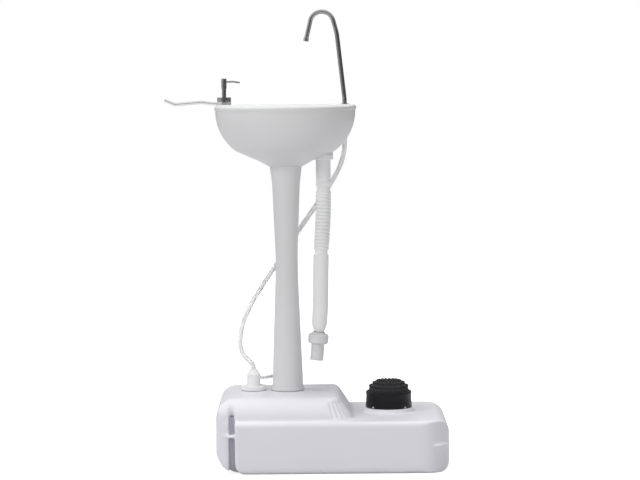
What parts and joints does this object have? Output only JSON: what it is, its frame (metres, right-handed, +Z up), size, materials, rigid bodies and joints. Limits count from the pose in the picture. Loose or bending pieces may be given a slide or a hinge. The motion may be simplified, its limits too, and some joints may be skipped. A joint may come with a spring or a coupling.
{
  "type": "portable handwash station",
  "caption": "Free-standing handwash station: water tank base with foot pump, column, D-shaped basin, swivel faucet, soap pump, towel bar, drain hose.",
  "frame": {"origin": "centre of the tank's underside, on the floor", "axes": "+Z up, +X to the right and +Y to the rear as the user faces the basin"},
  "size_m": [0.6345, 0.345, 1.0193],
  "materials": {
    "moulded_white": "satin white moulded plastic",
    "hose_white": "white plastic",
    "clear_hose": "milky soft plastic",
    "chrome": "polished",
    "steel": "bright",
    "seal_rubber": "matt",
    "pump_plastic": "satin black",
    "tread_rubber": "matt black"
  },
  "bodies": {
    "station": {"tank": "moulded_white", "column": "moulded_white", "column_collar": "moulded_white", "basin": "moulded_white", "drain_nut": "hose_white", "tail_piece": "hose_white", "drain_hose": "hose_white", "hose_cuff": "hose_white", "hose_end": "hose_white", "fitting_nut": "hose_white", "cap_fitting": "hose_white", "air_barb": "hose_white", "soap_bottle": "hose_white", "dip_tube": "hose_white", "dip_strainer": "hose_white", "soap_tube": "hose_white", "valve_plate": "hose_white", "supply_hose": "clear_hose", "air_hose": "clear_hose", "faucet_shank": "chrome", "soap_collar": "chrome", "drain_strainer": "chrome", "pump_spring": "steel", "soap_spring": "steel", "pump_screws": "steel", "faucet_nut": "steel", "hose_nut": "steel", "soap_nut": "steel", "drain_gasket": "seal_rubber", "cap_gasket": "seal_rubber", "pump_gasket": "seal_rubber", "faucet_washer": "seal_rubber", "intake_flap": "seal_rubber", "outlet_flap": "seal_rubber", "pump_base": "pump_plastic", "pump_bellows": "tread_rubber"},
    "faucet": {"faucet_tube": "chrome", "faucet_outlet": "chrome"},
    "towel_bar": {"towel_bar": "chrome"},
    "soap_stem": {"soap_stem": "chrome"},
    "soap_head": {"soap_head": "chrome"},
    "filler_cap": {"filler_cap": "hose_white"},
    "pump_tread": {"pump_tread": "tread_rubber"}
  },
  "joints": [
    {"name": "pump_press", "type": "slide", "parent": "station", "child": "pump_tread", "axis": [0, 0, -1], "range_m": [0, 0.018], "stiffness_N_per_m": 2500, "springref_m": -0.008, "deforming": ["pump_spring", "pump_bellows"]},
    {"name": "faucet_swivel", "type": "hinge", "parent": "station", "child": "faucet", "pos_m": [0.034, 0.105, 0.79], "axis": [0, 0, 1], "range_deg": [-90, 90]},
    {"name": "towel_swing", "type": "hinge", "parent": "station", "child": "towel_bar", "pos_m": [-0.24, 0.105, 0.808], "axis": [0, 0, 1], "range_deg": [-90, 60]},
    {"name": "soap_press", "type": "slide", "parent": "station", "child": "soap_stem", "axis": [0, 0, -1], "range_m": [0, 0.012], "stiffness_N_per_m": 200, "springref_m": -0.015, "deforming": ["soap_spring"]},
    {"name": "soap_swivel", "type": "hinge", "parent": "soap_stem", "child": "soap_head", "pos_m": [-0.24, 0.105, 0.842], "axis": [0, 0, 1], "continuous": true},
    {"name": "cap_turn", "type": "hinge", "parent": "station", "child": "filler_cap", "pos_m": [-0.177, 0.017, 0.17], "axis": [0, 0, 1], "range_deg": [0, 270]}
  ]
}
